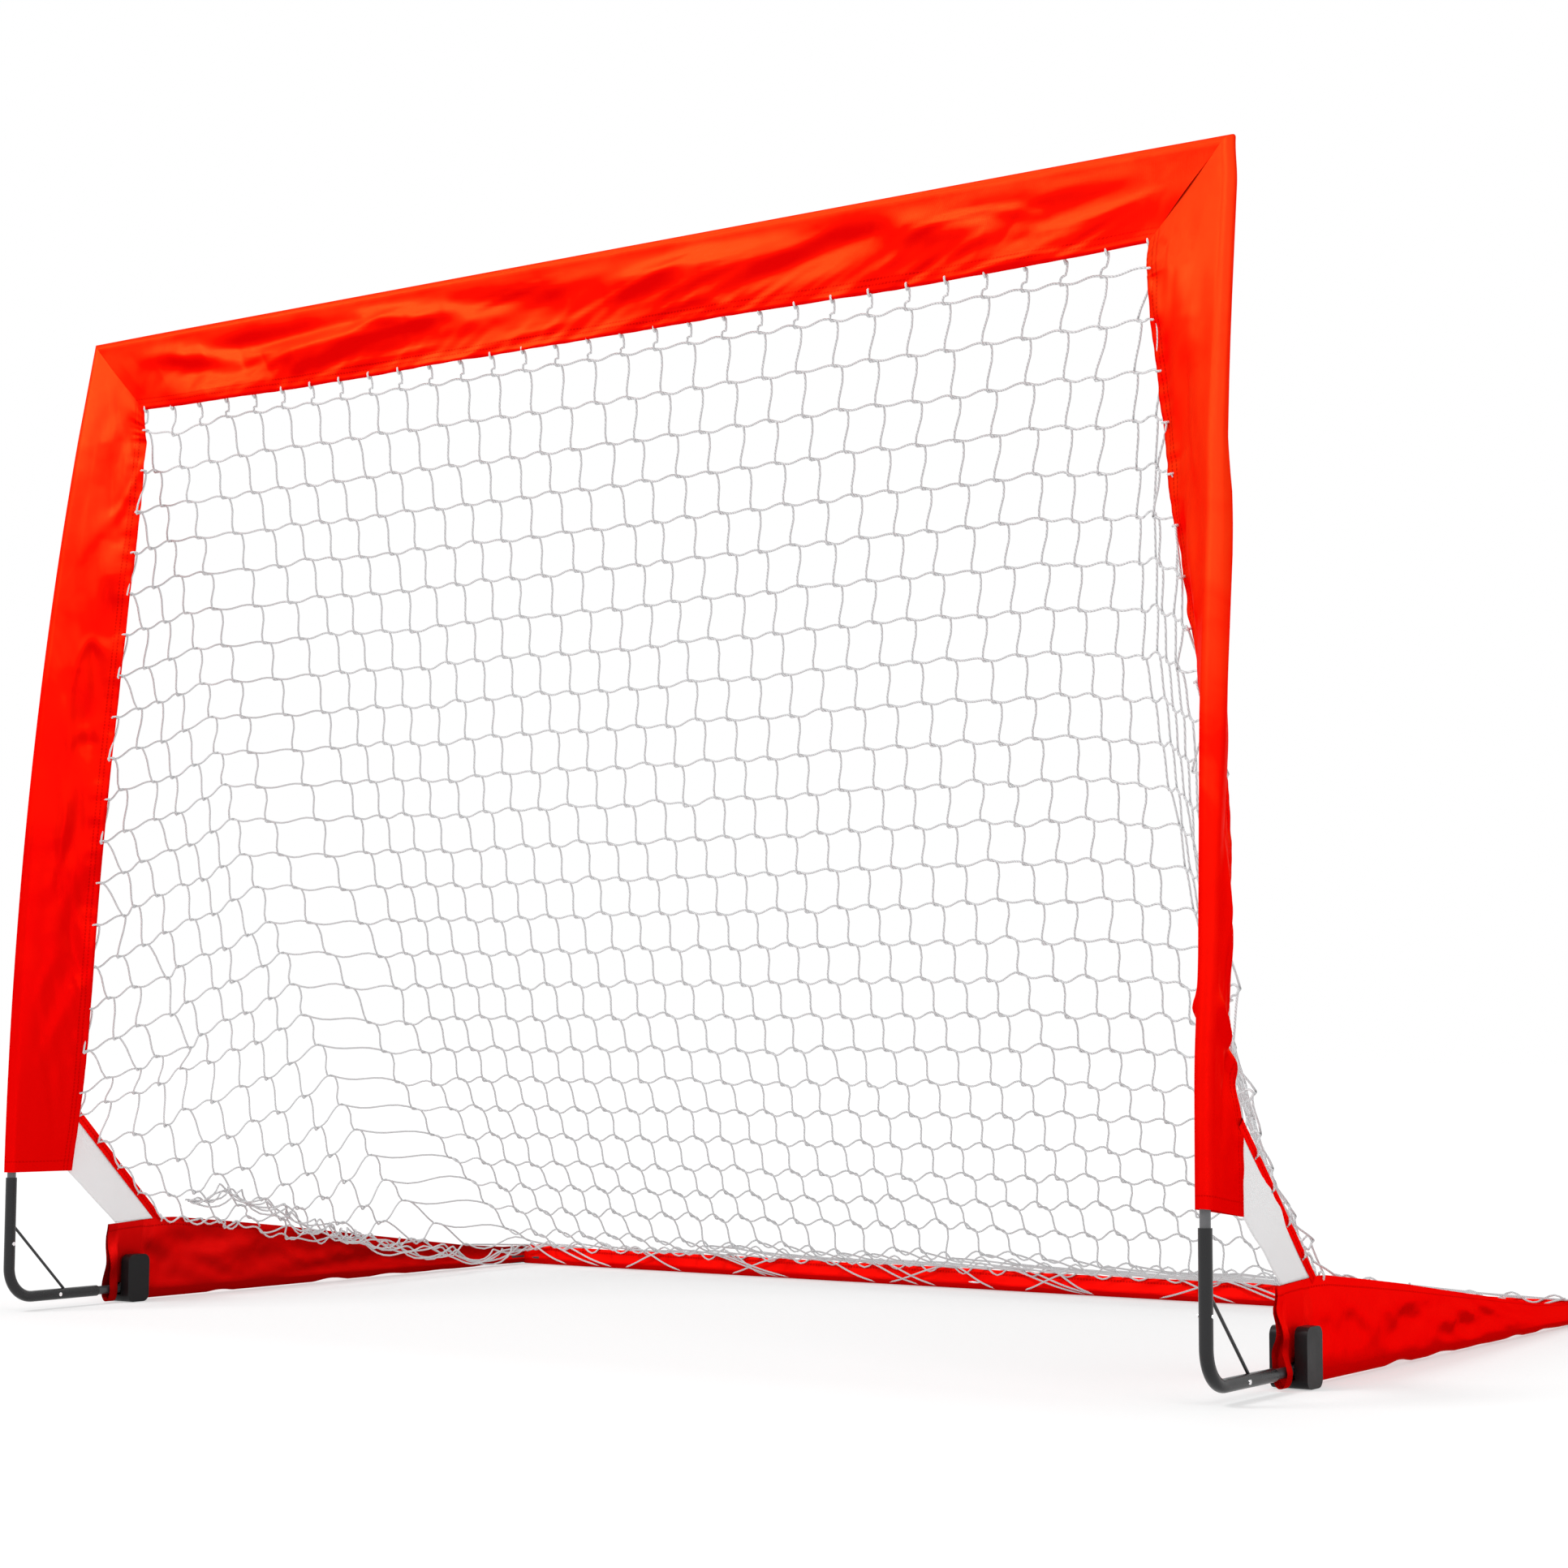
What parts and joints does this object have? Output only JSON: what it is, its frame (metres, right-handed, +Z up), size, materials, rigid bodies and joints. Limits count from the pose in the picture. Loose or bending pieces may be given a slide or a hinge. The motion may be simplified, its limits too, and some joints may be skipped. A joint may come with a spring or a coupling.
{
  "type": "street hockey goal",
  "caption": "Portable folding street-hockey goal: a bowed pole frame in fabric sleeves, hinged on a U-shaped base, with a sloping net behind the mouth.",
  "frame": {"origin": "middle of the goal's footprint, on the floor", "axes": "+X along the crossbar, towards the right upright seen from the front; +Y from the mouth to the rear bar; +Z up"},
  "size_m": [1.249, 0.7607, 0.9208],
  "materials": {
    "steel_tube": "satin black powder coat",
    "brace_wire": "satin black powder coat",
    "rivet_steel": "bright zinc",
    "stub_rod": "satin black",
    "pole_fibre": "smooth black glass-fibre rod",
    "elbow_plastic": "moulded black nylon",
    "ferrule_steel": "plain drawn tube",
    "bracket_plastic": "moulded black nylon, satin",
    "pin_steel": "plain",
    "crossbar_fabric": "satin woven polyester, orange-red",
    "upright_fabric": "satin woven polyester, orange-red",
    "base_fabric": "woven polyester, red",
    "rear_fabric": "woven polyester, red",
    "strap_webbing": "white woven strap",
    "binding_tape": "folded red binding tape",
    "net_twine": "white twisted polyester twine"
  },
  "bodies": {
    "base": {"hinge_bracket_left": "bracket_plastic", "hinge_bracket_right": "bracket_plastic", "hinge_pin_left": "pin_steel", "hinge_pin_right": "pin_steel", "base_pole_left": "pole_fibre", "base_pole_right": "pole_fibre", "rear_elbow_left": "elbow_plastic", "rear_elbow_right": "elbow_plastic", "rear_pole_left": "pole_fibre", "rear_pole_right": "pole_fibre", "rear_ferrule": "ferrule_steel", "rear_sleeve": "rear_fabric", "base_sleeve_left": "base_fabric", "base_sleeve_right": "base_fabric", "corner_strap_left": "strap_webbing", "corner_strap_right": "strap_webbing", "strap_binding_left": "binding_tape", "strap_binding_right": "binding_tape", "back_net": "net_twine", "side_net_left": "net_twine", "side_net_right": "net_twine"},
    "front_frame": {"corner_tube_left": "steel_tube", "corner_tube_right": "steel_tube", "corner_brace_left": "brace_wire", "corner_brace_right": "brace_wire", "upper_rivet_left": "rivet_steel", "upper_rivet_right": "rivet_steel", "lower_rivet_left": "rivet_steel", "lower_rivet_right": "rivet_steel", "pivot_stub_left": "stub_rod", "pivot_stub_right": "stub_rod", "upright_pole_left": "pole_fibre", "upright_pole_right": "pole_fibre", "top_elbow_left": "elbow_plastic", "top_elbow_right": "elbow_plastic", "crossbar_pole_left": "pole_fibre", "crossbar_pole_right": "pole_fibre", "crossbar_ferrule": "ferrule_steel", "crossbar_sleeve": "crossbar_fabric", "upright_sleeve_left": "upright_fabric", "upright_sleeve_right": "upright_fabric"}
  },
  "joints": [
    {"name": "frame_fold", "type": "hinge", "parent": "base", "child": "front_frame", "pos_m": [0, -0.2306, 0.0125], "axis": [-1, 0, 0], "range_deg": [0, 94], "deforming": ["back_net", "side_net_left", "side_net_right", "corner_strap_left", "corner_strap_right", "strap_binding_left", "strap_binding_right", "base_sleeve_left", "base_sleeve_right"]}
  ]
}
